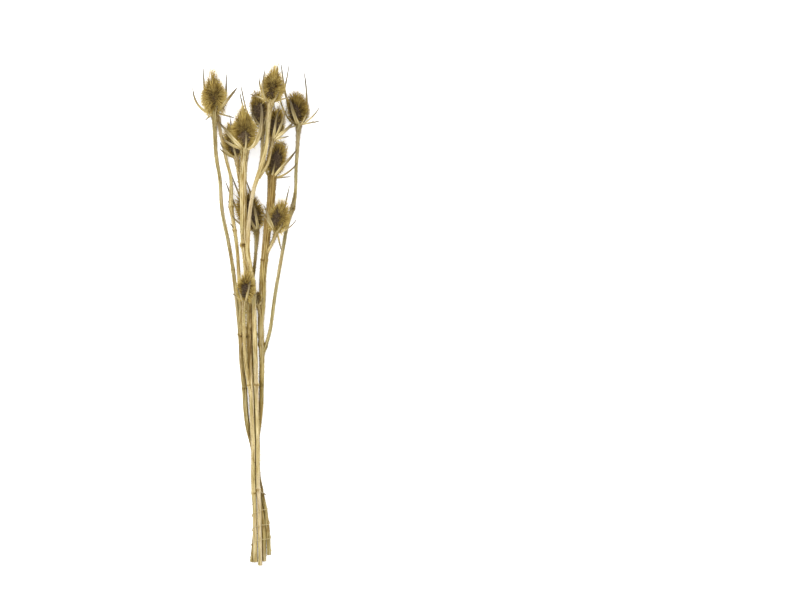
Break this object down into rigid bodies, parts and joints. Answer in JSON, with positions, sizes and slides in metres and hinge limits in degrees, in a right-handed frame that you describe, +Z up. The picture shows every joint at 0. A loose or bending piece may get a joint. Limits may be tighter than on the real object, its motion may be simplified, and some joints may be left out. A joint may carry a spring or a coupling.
{
  "type": "tied bunch of dried teasel seed heads",
  "caption": "Bunch of dried, cut teasel lying down: ribbed prickly stems with bristly egg-shaped seed heads and long curving bracts, tied with thin twine near the cut ends.",
  "frame": {"origin": "middle of the bunch's outline seen from above, on the surface that it lies on", "axes": "+Y runs along the bunch from the cut ends to the seed heads, +X to the right seen from above, +Z up from the surface"},
  "size_m": [0.1792, 0.705, 0.12],
  "materials": {
    "stem_straw": "dry, matt, ribbed lengthwise",
    "bristle": "dry, matt, stiff bristles over a dark core",
    "twine": "thin plain twine"
  },
  "bodies": {
    "root": {"stem_1": "stem_straw", "stem_2": "stem_straw", "stem_3": "stem_straw", "stem_4": "stem_straw", "stem_5": "stem_straw", "head_01": "bristle", "head_02": "bristle", "head_03": "bristle", "head_04": "bristle", "head_05": "bristle", "head_06": "bristle", "head_07": "bristle", "head_08": "bristle", "head_09": "bristle", "head_10": "bristle", "head_11": "bristle", "head_12": "bristle", "tie": "twine"}
  },
  "joints": []
}
